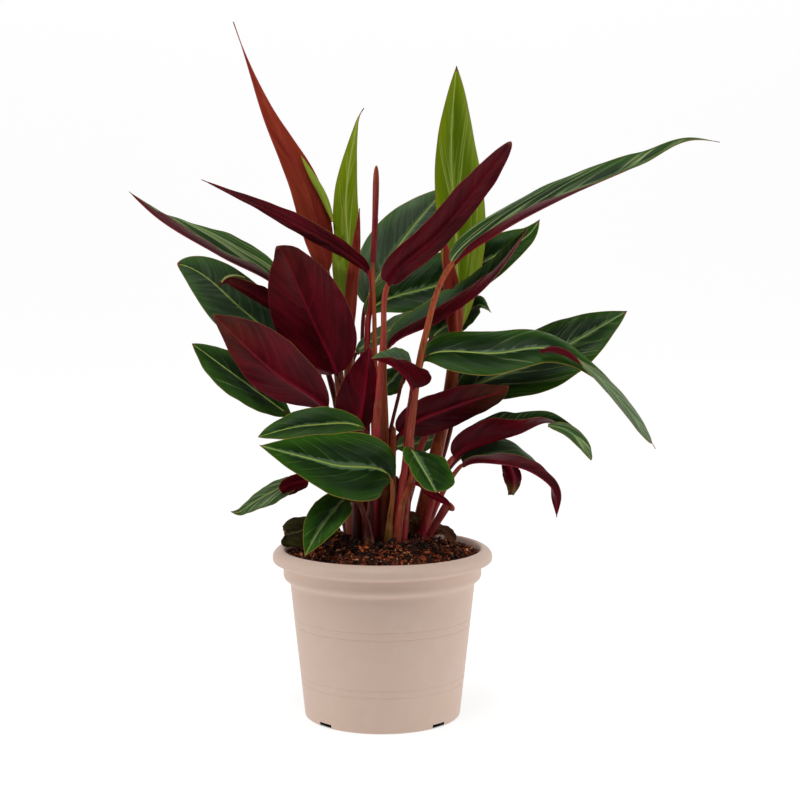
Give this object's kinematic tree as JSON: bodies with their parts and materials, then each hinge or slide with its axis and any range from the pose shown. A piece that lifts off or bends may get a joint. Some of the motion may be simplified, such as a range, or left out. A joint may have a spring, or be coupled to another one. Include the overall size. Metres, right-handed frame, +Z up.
{
  "type": "potted calathea",
  "caption": "Potted calathea: lance-shaped leaves, green above and burgundy below, on stalks from one crown in a round flared pot filled with bark soil.",
  "frame": {"origin": "centre of the pot's flat underside, on the surface that it stands on", "axes": "+Z up along the pot's axis and the plant's height, +X to the right and +Y to the back as the plant is seen in the picture"},
  "size_m": [0.5166, 0.2856, 0.5992],
  "materials": {
    "pot": "matt, warm taupe pink",
    "soil": "rough, dark bark chips",
    "stalk": "satin, salmon to crimson",
    "green": "satin, deep green with a burgundy underside",
    "red": "satin, burgundy underside towards the viewer",
    "young": "satin, lime green",
    "rust": "satin, rust red",
    "withered": "dull, dried brown and green"
  },
  "bodies": {
    "root": {"pot": "pot", "soil": "soil", "stems": "stalk", "leaf_tall_left": "rust", "leaf_dart_left": "red", "leaf_young_centre": "young", "leaf_far_left": "green", "leaf_broad_left": "green", "leaf_curl_left": "red", "leaf_heart_red": "red", "leaf_low_red": "red", "leaf_low_left": "green", "leaf_front_upper": "green", "leaf_front_large": "green", "leaf_front_hanging": "green", "leaf_twisted_left": "green", "leaf_red_centre": "red", "leaf_red_raised": "red", "leaf_tall_right": "young", "leaf_long_right": "green", "leaf_behind_right": "green", "leaf_folded_right": "green", "leaf_grey_behind": "green", "leaf_silver_behind": "green", "leaf_drooping_right": "green", "leaf_wide_right": "green", "leaf_red_right": "red", "leaf_bent_right": "green", "leaf_arched_right": "green", "leaf_small_hanging": "red", "leaf_small_front": "green", "leaf_small_upper": "green", "leaf_dark_point": "red", "spear_pink": "rust", "spear_rolled": "rust", "leaf_behind_tall": "green", "leaf_hidden_middle": "green", "leaf_hidden_low": "green", "leaf_back_left": "green", "leaf_back_right": "green", "leaf_back_low": "green", "leaf_back_centre": "green", "leaf_withered": "withered", "sheath_dried": "withered"}
  },
  "joints": []
}
